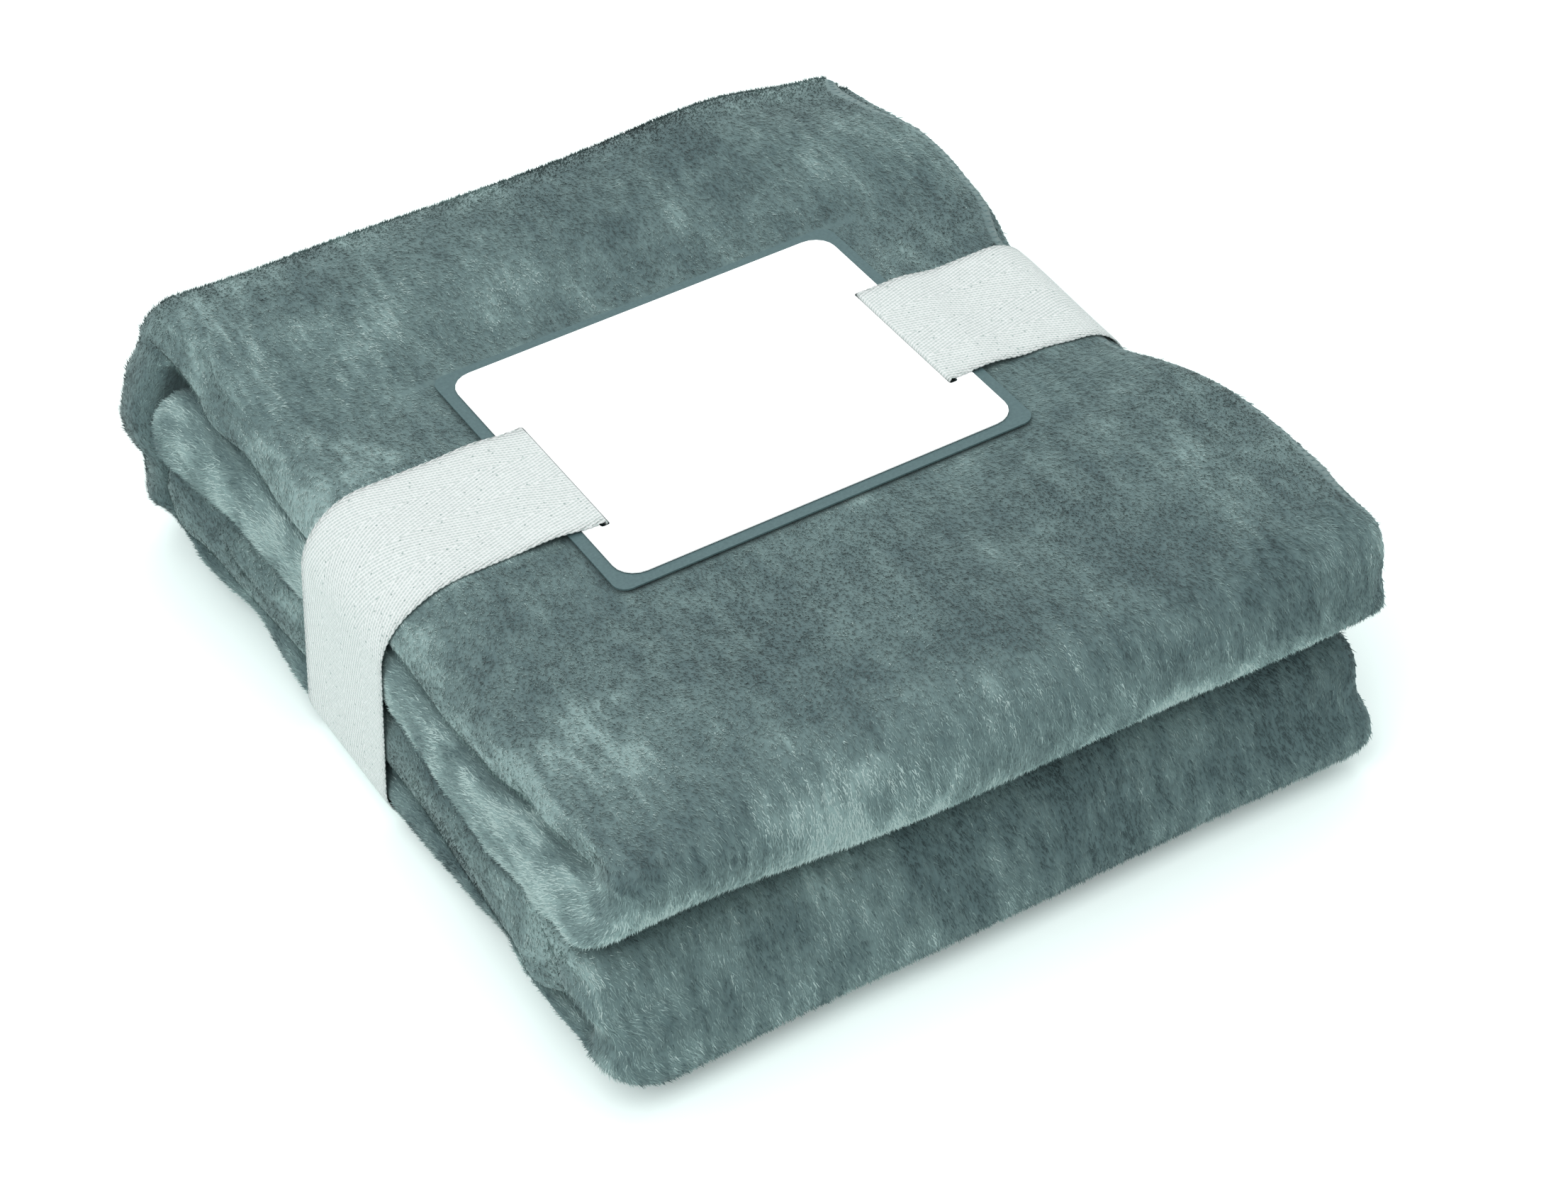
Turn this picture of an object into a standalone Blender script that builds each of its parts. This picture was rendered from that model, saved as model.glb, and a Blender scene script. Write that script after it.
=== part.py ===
"""A throw blanket, folded, with a cotton tape band and a card threaded on the band. Metres, +Z up.

The cloth is folded in four across its width, which makes a strip four layers thick. Both ends of the
strip are then folded to its middle and the strip is folded again at the middle, the spine. Seen from
the side the strip runs: upper inner run, upper fold, top run, spine, bottom run, lower fold, lower
inner run. X runs along the folds, Y from the two front folds to the spine, and the origin is below
the middle of the whole object, on the surface that it rests on.
"""

import math

import bmesh
import bpy
from mathutils import Matrix, Vector

# Gap kept between two pieces that touch
CLEARANCE = 0.0003

# Blanket
BLANKET_LENGTH = 0.347  # front folds to spine
LAYER_THICKNESS = 0.0054  # one layer of plush cloth, pressed
LAYERS = 4  # layers in the folded strip
RUN_GAP = 0.0010  # between two runs of the strip
SPINE_INSIDE = 0.0030  # radius inside each of the spine's two bends
LOWER_SETBACK = 0.005  # how far the lower fold stays behind the upper one
END_GAP = 0.0016  # between the inner runs' ends and the spine
EDGE_ROUNDING = 0.0080

# The section across the blanket at the band: a trapezium with rounded shoulders
BASE_HALF_WIDTH = 0.1492
TOP_HALF_WIDTH = 0.1400
TOP_SHOULDER = 0.022
BASE_SHOULDER = 0.014

# Hem thread and care label, both on the +X side, where the cloth's edges are
THREAD_RADIUS = 0.0003
LABEL_WIDTH = 0.030
LABEL_LENGTH = 0.042
LABEL_THICKNESS = 0.0004
LABEL_CORNER = 0.0015
LABEL_Y = 0.088
LABEL_TOP = 0.066

# Tape
TAPE_WIDTH = 0.060
TAPE_THICKNESS = 0.0008
TAPE_Y = 0.009  # middle of the tape
LAP_TOP = 0.056  # the tape's ends lap from this height
LAP_BOTTOM = 0.022  # down to this one
LAP_RAMP = 0.006  # height over which the inner end joins the band
CARD_RAMP = 0.007  # length over which the tape climbs onto the card

# Seam stitches, a closed box of thread through both laps
SEAM_WIDTH = 0.050
SEAM_HEIGHT = 0.022
SEAM_CORNER = 0.002

# Card: a grey board with a white face, both slotted for the tape
CARD_X = 0.0075  # the card sits a little off the middle of the pack
CARD_Y = 0.014
FACE_LENGTH = 0.151  # along X
FACE_WIDTH = 0.128  # along Y
FACE_THICKNESS = 0.0004
FACE_CORNER = 0.0085
BOARD_MARGIN = 0.0045
BOARD_THICKNESS = 0.0006
BOARD_CORNER = 0.0050
SLOT_INSET = 0.0080  # from the face's end to the middle of a slot
SLOT_WIDTH = 0.0034
SLOT_EXTRA = 0.0030  # a slot is this much longer than the tape is wide
SLOT_BEND = 0.0009  # middle of the tape, where it turns down into a slot and out of it

# Steps in a quarter turn
BEND_STEPS = 6
CORNER_STEPS = 5
TAPE_STEPS = 8

STRIP_THICKNESS = LAYERS * LAYER_THICKNESS
SPINE_BEND = SPINE_INSIDE + STRIP_THICKNESS / 2  # middle of the strip
BLANKET_LOW = TAPE_THICKNESS + CLEARANCE
BLANKET_HIGH = BLANKET_LOW + 4 * STRIP_THICKNESS + 3 * RUN_GAP
CORE_HALF = STRIP_THICKNESS / 2 - EDGE_ROUNDING
HEM_ROOM = TAPE_THICKNESS + LABEL_THICKNESS + 2 * THREAD_RADIUS + 3 * CLEARANCE
OUTER_LEVEL = 1.5 * LAYER_THICKNESS  # middle of the outer layers, from the strip's middle
INNER_LEVEL = 0.5 * LAYER_THICKNESS
HEM_REACH = EDGE_ROUNDING + CLEARANCE + THREAD_RADIUS
FRONT = -BLANKET_LENGTH / 2
BACK = BLANKET_LENGTH / 2
CORE_END = BACK - STRIP_THICKNESS - END_GAP - EDGE_ROUNDING

TAPE_UNDER_Z = BLANKET_HIGH + CLEARANCE + TAPE_THICKNESS / 2
BOARD_LOW = BLANKET_HIGH + TAPE_THICKNESS + 2 * CLEARANCE
FACE_LOW = BOARD_LOW + BOARD_THICKNESS + CLEARANCE
TAPE_OVER_Z = FACE_LOW + FACE_THICKNESS + CLEARANCE + TAPE_THICKNESS / 2
SLOT_X = FACE_LENGTH / 2 - SLOT_INSET
BOARD_HALF = FACE_LENGTH / 2 + BOARD_MARGIN

# A drawing in the plane of local X and Y, stood up: drawn in Y and Z, or in X and Z
STAND_ALONG_X = Matrix(((0, 0, 1), (1, 0, 0), (0, 1, 0))).to_4x4()
STAND_ALONG_Y = Matrix(((1, 0, 0), (0, 0, -1), (0, 1, 0))).to_4x4()


def clear_scene():
    for old in list(bpy.data.objects):
        bpy.data.objects.remove(old, do_unlink=True)


def new_collection(name):
    found = bpy.data.collections.new(name)
    bpy.context.scene.collection.children.link(found)
    return found


def new_material(name, color, roughness):
    material = bpy.data.materials.new(name)
    material.use_nodes = True
    shader = material.node_tree.nodes["Principled BSDF"]
    shader.inputs["Base Color"].default_value = (*color, 1)
    shader.inputs["Roughness"].default_value = roughness
    shader.inputs["Metallic"].default_value = 0
    return material


def arc(centre, radius, start, end, steps):
    """Points on a circle from the start angle to the end angle, in degrees, both ends included."""
    angles = [math.radians(start + (end - start) * n / steps) for n in range(steps + 1)]
    return [(centre[0] + radius * math.cos(a), centre[1] + radius * math.sin(a)) for a in angles]


def normals(points):
    """The left-hand normal at each point of an open path, lengthened so that offsets keep their width."""
    ways = []
    for a, b in zip(points, points[1:]):
        ways.append((Vector(b) - Vector(a)).normalized())
    found = []
    for before, after in zip([ways[0], *ways], [*ways, ways[-1]]):
        middle = (before + after).normalized()
        found.append(Vector((-middle.y, middle.x)) / middle.dot(before))
    return found


def offset(points, distances):
    """The path moved to its left by a distance for each point."""
    return [tuple(Vector(p) + n * d) for p, n, d in zip(points, normals(points), distances)]


def outline_of(path, half):
    """The closed outline of a path with a thickness."""
    left = offset(path, [half] * len(path))
    right = offset(path, [-half] * len(path))
    return left + right[::-1]


def plate_curve(name, outlines, half_depth, rounding=0.0, rounding_steps=2):
    """A flat 2D curve of one or more closed outlines, with depth on both sides of its plane."""
    data = bpy.data.curves.new(name, "CURVE")
    data.dimensions = "2D"
    data.fill_mode = "BOTH"
    data.extrude = half_depth - rounding
    data.bevel_depth = rounding
    data.bevel_resolution = rounding_steps
    for outline in outlines:
        spline = data.splines.new("POLY")
        spline.points.add(len(outline) - 1)
        for point, (u, v) in zip(spline.points, outline):
            point.co = (u, v, 0, 1)
        spline.use_cyclic_u = True
    return bpy.data.objects.new(name, data)


def thread_curve(name, route, radius, closed):
    """A round thread along a route of points."""
    data = bpy.data.curves.new(name, "CURVE")
    data.dimensions = "3D"
    data.fill_mode = "FULL"
    data.bevel_depth = radius
    data.bevel_resolution = 2
    data.use_fill_caps = not closed
    spline = data.splines.new("POLY")
    spline.points.add(len(route) - 1)
    for point, place in zip(spline.points, route):
        point.co = (*place, 1)
    spline.use_cyclic_u = closed
    return bpy.data.objects.new(name, data)


def as_mesh(curve, collection, material, matrix=None):
    """The curve made a mesh object, with its caps welded to its sides."""
    collection.objects.link(curve)
    if matrix is not None:
        curve.matrix_world = matrix
    bpy.context.view_layer.update()
    graph = bpy.context.evaluated_depsgraph_get()
    mesh = bpy.data.meshes.new_from_object(curve.evaluated_get(graph))
    name, place = curve.name, curve.matrix_world.copy()
    bpy.data.objects.remove(curve, do_unlink=True)
    cleaned = bmesh.new()
    cleaned.from_mesh(mesh)
    bmesh.ops.remove_doubles(cleaned, verts=cleaned.verts, dist=1e-6)
    bmesh.ops.recalc_face_normals(cleaned, faces=cleaned.faces)
    cleaned.to_mesh(mesh)
    cleaned.free()
    mesh.name = name
    mesh.materials.clear()
    mesh.materials.append(material)
    mesh.shade_smooth()
    mesh.set_sharp_from_angle(angle=math.radians(35))
    made = bpy.data.objects.new(name, mesh)
    made.matrix_world = place
    collection.objects.link(made)
    return made


def side_at(z):
    """Half the width of the section at a height: the trapezium's side, less its rounded shoulders."""
    share = (z - BLANKET_LOW) / (BLANKET_HIGH - BLANKET_LOW)
    half = BASE_HALF_WIDTH + (TOP_HALF_WIDTH - BASE_HALF_WIDTH) * share
    rise = min(max(0.0, z - (BLANKET_HIGH - TOP_SHOULDER)), TOP_SHOULDER)
    drop = min(max(0.0, BLANKET_LOW + BASE_SHOULDER - z), BASE_SHOULDER)
    half -= TOP_SHOULDER - math.sqrt(TOP_SHOULDER**2 - rise**2)
    return half - (BASE_SHOULDER - math.sqrt(BASE_SHOULDER**2 - drop**2))


def across(x, z):
    """Where a point of a strip as wide as the base comes to lie, so that the strip fills the section."""
    share = (x + BASE_HALF_WIDTH) / (2 * BASE_HALF_WIDTH)
    return -side_at(z) + share * (2 * side_at(z) - HEM_ROOM)


def run_height(number):
    """The middle height of a run, counted from 0 at the bottom."""
    return BLANKET_LOW + STRIP_THICKNESS / 2 + number * (STRIP_THICKNESS + RUN_GAP)


def strip_path():
    """The middle of the strip in Y and Z, from the upper inner end to the lower one, less its rounding."""
    fold = (STRIP_THICKNESS + RUN_GAP) / 2
    upper_y = FRONT + fold + STRIP_THICKNESS / 2
    lower_y = upper_y + LOWER_SETBACK
    spine_y = BACK - STRIP_THICKNESS / 2 - SPINE_BEND
    heights = [run_height(n) for n in range(4)]
    points = [(CORE_END, heights[2])]
    points += arc((upper_y, heights[2] + fold), fold, 270, 90, 2 * BEND_STEPS)
    points += arc((spine_y, heights[3] - SPINE_BEND), SPINE_BEND, 90, 0, BEND_STEPS)
    points += arc((spine_y, heights[0] + SPINE_BEND), SPINE_BEND, 0, -90, BEND_STEPS)
    points += arc((lower_y, heights[0] + fold), fold, 270, 90, 2 * BEND_STEPS)
    points += [(CORE_END, heights[1])]
    return points


def fill_section(made):
    """Draws each height of the strip to its own width."""
    bpy.context.view_layer.update()
    made.data.transform(made.matrix_world)
    made.matrix_world = Matrix.Identity(4)
    for vertex in made.data.vertices:
        vertex.co.x = across(vertex.co.x, vertex.co.z)


def make_blanket(collection, material):
    outline = outline_of(strip_path(), CORE_HALF)
    curve = plate_curve("blanket", [outline], BASE_HALF_WIDTH, EDGE_ROUNDING, 2)
    fill_section(as_mesh(curve, collection, material, STAND_ALONG_X))


def hem_side(level):
    """The thread along one long hem: the strip's path at a level off its middle, on the +X edge."""
    rise = max(0.0, abs(level) - CORE_HALF)
    reach = BASE_HALF_WIDTH - EDGE_ROUNDING + math.sqrt(HEM_REACH**2 - rise**2)
    path = strip_path()
    return [(reach, y, z) for y, z in offset(path, [level] * len(path))]


def hem_corner(level):
    """The thread's turn from the +X edge onto the strip's end, as X, level and Y."""
    rise = max(0.0, abs(level) - CORE_HALF)
    widest = math.acos(rise / HEM_REACH)
    flat = BASE_HALF_WIDTH - EDGE_ROUNDING
    turns = [widest * (CORNER_STEPS - n - 0.5) / CORNER_STEPS for n in range(CORNER_STEPS)]
    return [(flat + HEM_REACH * math.sin(a), level, CORE_END + HEM_REACH * math.cos(a)) for a in turns]


def hem_end(height, way):
    """The thread across one end of the strip, along each layer in turn and round its three folds.

    It is drawn in X and the level off the strip's middle. way is 1 where levels rise with Z.
    """
    far = -BASE_HALF_WIDTH + EDGE_ROUNDING + OUTER_LEVEL
    steps = 2 * CORNER_STEPS
    folds = arc((far, 0), OUTER_LEVEL, 90, 270, steps)
    folds += arc((-far, -LAYER_THICKNESS), LAYER_THICKNESS / 2, -90, 90, steps)
    folds += arc((far, 0), INNER_LEVEL, 270, 90, steps)
    route = hem_corner(OUTER_LEVEL)
    route += [(x, level, CORE_END + HEM_REACH) for x, level in folds]
    route += hem_corner(INNER_LEVEL)[::-1]
    return [(x, y, height + way * level) for x, level, y in route]


def make_hem(collection, material):
    """One thread all round the sheet: a long hem, an end, the other long hem and the other end."""
    route = hem_side(OUTER_LEVEL)
    route += hem_end(run_height(1), 1)
    route += hem_side(INNER_LEVEL)[::-1]
    route += hem_end(run_height(2), -1)[::-1]
    route = [(across(x, z), y, z) for x, y, z in route]
    as_mesh(thread_curve("hem_stitching", route, THREAD_RADIUS, True), collection, material)


def rounded_rectangle(length, width, radius, centre=(0.0, 0.0), steps=CORNER_STEPS):
    u, v = length / 2 - radius, width / 2 - radius
    points = []
    for quarter, (along, up) in enumerate(((u, v), (-u, v), (-u, -v), (u, -v))):
        middle = (centre[0] + along, centre[1] + up)
        points += arc(middle, radius, 90 * quarter, 90 * quarter + 90, steps)
    return points


def side_lean():
    """The angle by which the section's sides lean in from upright."""
    return math.atan2(BASE_HALF_WIDTH - TOP_HALF_WIDTH, BLANKET_HIGH - BLANKET_LOW)


def side_matrix(y, z, outward):
    """A plate's place on the +X side: local X along Y, local Y up the leaning side, local Z outwards."""
    lean = side_lean()
    up = Vector((-math.sin(lean), 0, math.cos(lean)))
    out = Vector((math.cos(lean), 0, math.sin(lean)))
    along = up.cross(out)
    matrix = Matrix((along, up, out)).transposed().to_4x4()
    matrix.translation = Vector((side_at(z), y, z)) + out * outward
    return matrix


def make_label(collection, material):
    outline = rounded_rectangle(LABEL_WIDTH, LABEL_LENGTH, LABEL_CORNER, steps=2)
    curve = plate_curve("care_label", [outline], LABEL_THICKNESS / 2)
    outward = -(TAPE_THICKNESS + CLEARANCE + LABEL_THICKNESS / 2)
    matrix = side_matrix(LABEL_Y, LABEL_TOP - LABEL_LENGTH / 2, outward)
    as_mesh(curve, collection, material, matrix)


def side_heights():
    """Heights up one side of the section, close together round its shoulders."""
    base = [BLANKET_LOW + BASE_SHOULDER * (1 - math.cos(math.radians(90 * n / TAPE_STEPS)))
            for n in range(TAPE_STEPS + 1)]
    top = [BLANKET_HIGH - TOP_SHOULDER * (1 - math.sin(math.radians(90 * n / TAPE_STEPS)))
           for n in range(TAPE_STEPS + 1)]
    return base, top


def tape_path():
    """The middle of the tape in X and Z: from the inner end of the lap, round below, over and down."""
    seat = CLEARANCE + TAPE_THICKNESS / 2
    tucked = seat - TAPE_THICKNESS - CLEARANCE
    base, top = side_heights()
    left = [(-side_at(z), z) for z in base + top]
    below = [(-x, z) for x, z in left[: len(base)]][::-1]
    lap = [(side_at(z), z) for z in (LAP_TOP, LAP_BOTTOM, LAP_BOTTOM - LAP_RAMP)]
    around = lap + below + left
    levels = [tucked, tucked] + [seat] * (len(around) - 2)
    around = offset(around, levels)
    over = card_crossing(-1) + card_crossing(1)[::-1]
    down = [(side_at(z), z) for z in top[::-1] + [LAP_BOTTOM]]
    down = offset(down, [seat] * len(down))
    return around + over + down


def card_crossing(way):
    """The tape at one end of the card, going inwards: up over the edge and down through the slot."""
    turn_out = arc((SLOT_X + SLOT_BEND, TAPE_OVER_Z - SLOT_BEND), SLOT_BEND, 90, 180, 3)
    turn_in = arc((SLOT_X - SLOT_BEND, TAPE_UNDER_Z + SLOT_BEND), SLOT_BEND, 0, -90, 3)
    edge = BOARD_HALF + 4 * CLEARANCE
    points = [(edge + CARD_RAMP, TAPE_UNDER_Z), (edge, TAPE_OVER_Z)] + turn_out + turn_in
    return [(CARD_X + way * x, z) for x, z in points]


def make_tape(collection, material, parent):
    outline = outline_of(tape_path(), TAPE_THICKNESS / 2)
    curve = plate_curve("cotton_tape", [outline], TAPE_WIDTH / 2)
    place = Matrix.Translation((0, TAPE_Y, 0)) @ STAND_ALONG_Y
    as_mesh(curve, collection, material, place).parent = parent


def make_seam(collection, material, parent):
    outward = CLEARANCE + TAPE_THICKNESS + CLEARANCE + THREAD_RADIUS
    matrix = side_matrix(TAPE_Y, (LAP_TOP + LAP_BOTTOM) / 2, outward)
    flat = rounded_rectangle(SEAM_WIDTH, SEAM_HEIGHT, SEAM_CORNER, steps=3)
    route = [tuple(matrix @ Vector((u, v, 0))) for u, v in flat]
    curve = thread_curve("tape_seam_stitches", route, THREAD_RADIUS, True)
    as_mesh(curve, collection, material).parent = parent


def make_card_sheet(name, length, width, corner, low, thickness, collection, material, parent):
    """A flat sheet with rounded corners and the two slots that the tape goes through."""
    outlines = [rounded_rectangle(length, width, corner)]
    for way in (-1, 1):
        centre = (way * SLOT_X, TAPE_Y - CARD_Y)
        outlines.append(rounded_rectangle(SLOT_WIDTH, TAPE_WIDTH + SLOT_EXTRA, SLOT_WIDTH / 4, centre, 2))
    curve = plate_curve(name, outlines, thickness / 2)
    place = Matrix.Translation((CARD_X, CARD_Y, low + thickness / 2))
    as_mesh(curve, collection, material, place).parent = parent


def new_mover(name, collection):
    """An empty that carries the pieces that move together."""
    mover = bpy.data.objects.new(name, None)
    collection.objects.link(mover)
    return mover


def main():
    clear_scene()
    collection = new_collection("folded_throw_blanket")
    plush = new_material("plush", (0.12, 0.17, 0.18), 0.95)
    thread = new_material("hem_thread", (0.16, 0.21, 0.22), 0.8)
    label = new_material("label_satin", (0.86, 0.87, 0.86), 0.5)
    cotton = new_material("cotton_twill", (0.83, 0.86, 0.84), 0.9)
    white_thread = new_material("white_thread", (0.85, 0.87, 0.86), 0.8)
    board = new_material("grey_board", (0.10, 0.15, 0.16), 0.6)
    face = new_material("white_face", (0.95, 0.95, 0.95), 0.5)
    make_blanket(collection, plush)
    make_hem(collection, thread)
    make_label(collection, label)
    band = new_mover("band_mover", collection)
    make_tape(collection, cotton, band)
    make_seam(collection, white_thread, band)
    card = new_mover("card_mover", collection)
    card.parent = band
    board_size = (FACE_LENGTH + 2 * BOARD_MARGIN, FACE_WIDTH + 2 * BOARD_MARGIN, BOARD_CORNER)
    make_card_sheet("card_board", *board_size, BOARD_LOW, BOARD_THICKNESS, collection, board, card)
    face_size = (FACE_LENGTH, FACE_WIDTH, FACE_CORNER)
    make_card_sheet("card_face", *face_size, FACE_LOW, FACE_THICKNESS, collection, face, card)


main()
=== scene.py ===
"""A folded plush throw in a cotton tape band, with a card threaded on the band.

X runs along the folds, Y from the two front folds to the spine and Z up, in metres.
"""

import itertools
import math

import bpy
import numpy as np
from bpy.props import FloatProperty, FloatVectorProperty, IntProperty, PointerProperty
from mathutils import Matrix, Vector


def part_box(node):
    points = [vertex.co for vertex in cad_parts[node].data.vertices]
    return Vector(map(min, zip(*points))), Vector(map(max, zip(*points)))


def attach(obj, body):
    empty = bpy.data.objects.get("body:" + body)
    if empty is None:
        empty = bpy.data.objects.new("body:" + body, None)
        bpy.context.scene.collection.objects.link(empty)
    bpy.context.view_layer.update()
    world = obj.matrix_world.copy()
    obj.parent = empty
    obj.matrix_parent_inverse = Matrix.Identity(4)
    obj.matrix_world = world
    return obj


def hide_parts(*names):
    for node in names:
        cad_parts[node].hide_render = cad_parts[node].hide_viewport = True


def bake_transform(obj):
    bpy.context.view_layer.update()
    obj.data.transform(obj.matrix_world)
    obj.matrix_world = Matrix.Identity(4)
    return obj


bl_info = {
    "name": "Folded throw",
    "version": (1, 0, 0),
    "blender": (4, 5, 0),
    "location": "3D View > Sidebar > Throw",
    "description": "A folded plush throw with a cotton tape band and a card",
    "category": "Add Mesh",
}

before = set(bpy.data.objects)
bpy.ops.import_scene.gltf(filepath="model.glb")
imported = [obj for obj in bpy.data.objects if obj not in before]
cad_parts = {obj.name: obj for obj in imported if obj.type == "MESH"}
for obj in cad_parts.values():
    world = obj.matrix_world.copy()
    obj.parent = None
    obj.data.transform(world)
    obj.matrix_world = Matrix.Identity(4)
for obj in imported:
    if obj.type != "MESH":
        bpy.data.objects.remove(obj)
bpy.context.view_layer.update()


def node_box(name):
    """A CAD node's lowest and highest corners."""
    low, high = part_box(name)
    return np.array(low), np.array(high)


CLOTH_LOW, CLOTH_HIGH = node_box("blanket")
TAPE_LOW, TAPE_HIGH = node_box("cotton_tape")
BOARD_LOW, BOARD_HIGH = node_box("card_board")
FACE_LOW, FACE_HIGH = node_box("card_face")
LABEL_LOW, LABEL_HIGH = node_box("care_label")
SEAM_LOW, SEAM_HIGH = node_box("tape_seam_stitches")
SOFT_TOP = CLOTH_HIGH[2]
FRONT, BACK = CLOTH_LOW[1], CLOTH_HIGH[1]
CARD_X = (FACE_LOW[0] + FACE_HIGH[0]) / 2
CARD_TRAVEL = 0.012  # either way along the tape
CARD_REACH = (BOARD_HIGH[0] - BOARD_LOW[0]) / 2 + CARD_TRAVEL

# The folded strip
LAYERS = 4
RUN_GAP = 0.0010
STRIP = (CLOTH_HIGH[2] - CLOTH_LOW[2] - 3 * RUN_GAP) / 4
LAYER = STRIP / LAYERS
WALL = 0.93 * LAYER  # thickness drawn for one layer
HALF_WIDTH = 0.1480  # of the strip before it settles
HEM_ROOM = 0.0027
SPINE_INSIDE = 0.0030
LOWER_SETBACK = 0.0050
RUN_END = 0.0016  # between the inner runs' ends and the spine

# The section under the band, a trapezium with rounded shoulders
BASE_HALF = 0.1492
TOP_HALF = 0.1400
TOP_SHOULDER = 0.0220
BASE_SHOULDER = 0.0140
TOUCH = 0.0003  # between two pieces that touch

# The tape: its ends lap on the +X side, and it is drawn in three lengths
LAP_TOP = 0.056
LAP_BOTTOM = 0.022
LOWER_JOIN = 0.120  # X where the length below meets the two upper ones
CARD_RAMP = 0.019  # over which the tape climbs onto the card
BAND_STRAY = 0.0046  # how far it lies nearer to the spine on the -X side
BAND_LEAN = 0.0026  # how far its front edge lies lower over the shoulders

# Parts of the cloth's grid
OUTER_COLUMNS = 92  # columns of the outermost layer and of the wide fold
INNER_RUN = 0.298  # length of each inner run, which shows only at its sides
FOLD_STEPS = 28  # steps round each of the two front folds
CORNERS = ((0, 0), (1, 0), (1, 1), (0, 1))  # of a quad, as steps across and along
FLAT_ROOM = 0.0005  # a tuft with less room than this lies flat


def srgb(code):
    """Linear red, green and blue of a hexadecimal colour."""
    parts = np.array([int(code[n : n + 2], 16) for n in (0, 2, 4)]) / 255
    return tuple(float(c) for c in np.where(parts < 0.04045, parts / 12.92, ((parts + 0.055) / 1.055) ** 2.4))


def colour(name, code, about):
    """A colour that a user may change, given as a hexadecimal code."""
    return FloatVectorProperty(
        name=name, description=about, default=srgb(code), size=3, subtype="COLOR", min=0, max=1
    )


def length(name, value, about):
    """A length that a user may change, in metres."""
    return FloatProperty(name=name, description=about, default=value, unit="LENGTH", precision=5)


# ---------------------------------------------------------------- sizes and colours


class ThrowCloth(bpy.types.PropertyGroup):
    """The cloth: its cut size, its settled height and its colours"""

    cut_width: length("Cut width", 1.2, "Width of the sheet before it is folded")
    cut_length: length("Cut length", 1.5, "Length of the sheet before it is folded")
    front_height: length("Front height", 0.0990, "Height of the pack in front of the band")
    spine_height: length("Spine height", 0.1038, "Height of the pack behind the band")
    # The lighter tones also serve as the painted sheen on the folds, under the noses and along the spine's
    # top edge, and the darker ones as the painted shade under the upper nose.
    deep: colour("Deep", "3b4b4d", "Pile seen between the tufts")
    dark: colour("Dark", "4b5e60", "Pile brushed away")
    middle: colour("Middle", "607474", "Most of the pile")
    light: colour("Light", "7d9392", "Pile brushed up")
    bright: colour("Bright", "9fb2b0", "Tips of the pile on the folds")
    thread: colour("Hem thread", "6b8082", "Overlock thread along the hems")


class ThrowPile(bpy.types.PropertyGroup):
    """The tufts of the pile"""

    tufts: IntProperty(name="Tufts", description="Tufts on the whole throw", default=760000, min=0)
    tuft_length: length("Tuft length", 0.0026, "Length of a tuft")
    tuft_width: length("Tuft width", 0.00050, "Width of a tuft at its root")
    lean: FloatProperty(name="Lean", default=math.radians(27), subtype="ANGLE",
                        description="Angle between a tuft and the cloth")


class ThrowTape(bpy.types.PropertyGroup):
    """The cotton tape: its weave and its colours"""

    thickness: length("Thickness", 0.0008, "Thickness of the tape")
    rib: length("Rib pitch", 0.0014, "Distance between two ribs of the twill")
    column: length("Column width", 0.0148, "Width of one column of the herringbone")
    scallop: length("Scallop", 0.00035, "How far the selvedge's loops stand out")
    scallop_pitch: length("Scallop pitch", 0.0022, "Distance between two loops of the selvedge")
    cotton: colour("Cotton", "d2d6d5", "Raised yarns")
    # painted shade in the weave's grooves, between the ribs
    groove_shade: colour("Groove", "b0bbb8", "Between the ribs")
    pinhole: colour("Pinhole", "7c8f8c", "Gaps in the weave")


class ThrowCard(bpy.types.PropertyGroup):
    """The card: where its slots lie and its colours"""

    slot_inset: length("Slot inset", 0.0080, "From the face's end to the middle of a slot")
    paper: colour("Paper", "fcfdfd", "White face")
    board: colour("Board", "52686a", "Grey board under the face")
    board_edge: colour("Board edge", "34464a", "Pressed edge of the board")


class ThrowStage(bpy.types.PropertyGroup):
    """The camera and the floor"""

    azimuth: FloatProperty(name="Azimuth", default=math.radians(27.7), subtype="ANGLE",
                           description="Camera's turn from +Y towards +X")
    elevation: FloatProperty(name="Elevation", default=math.radians(40.17), subtype="ANGLE",
                             description="Camera's tilt down")
    roll: FloatProperty(name="Roll", default=math.radians(-4.43), subtype="ANGLE",
                        description="Camera's turn round its own axis")
    distance: length("Distance", 1.4, "From the camera to its target")
    lens: FloatProperty(name="Lens", description="Focal length in millimetres", default=89.1)
    floor: colour("Floor", "edf7f5", "Paper floor")


GROUPS = {"throw_cloth": ThrowCloth, "throw_pile": ThrowPile, "throw_tape": ThrowTape,
          "throw_card": ThrowCard, "throw_stage": ThrowStage}


# ---------------------------------------------------------------- mesh helpers


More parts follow.
